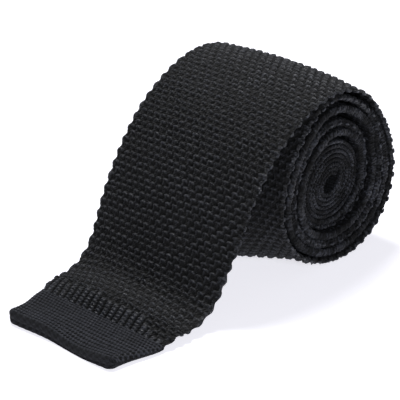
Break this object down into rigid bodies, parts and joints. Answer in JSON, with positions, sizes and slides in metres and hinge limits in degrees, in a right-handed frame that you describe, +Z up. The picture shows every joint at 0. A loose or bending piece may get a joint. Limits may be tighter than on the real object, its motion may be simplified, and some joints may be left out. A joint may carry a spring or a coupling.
{
  "type": "rolled knit tie",
  "caption": "Square-ended knit tie, folded at the neck and rolled up, with its front blade running off the roll down to a flat plain hem.",
  "frame": {"origin": "middle of the footprint, on the surface that the tie lies on", "axes": "+Z up, +X from the free end to the roll, Y along the roll's axis"},
  "size_m": [0.1318, 0.0622, 0.0645],
  "materials": {
    "honeycomb_knit": "soft sheen",
    "plain_knit": "soft sheen"
  },
  "bodies": {
    "root": {"blade": "honeycomb_knit", "blade_hem": "plain_knit", "neck": "plain_knit", "tail": "honeycomb_knit", "tail_hem": "plain_knit"}
  },
  "joints": []
}
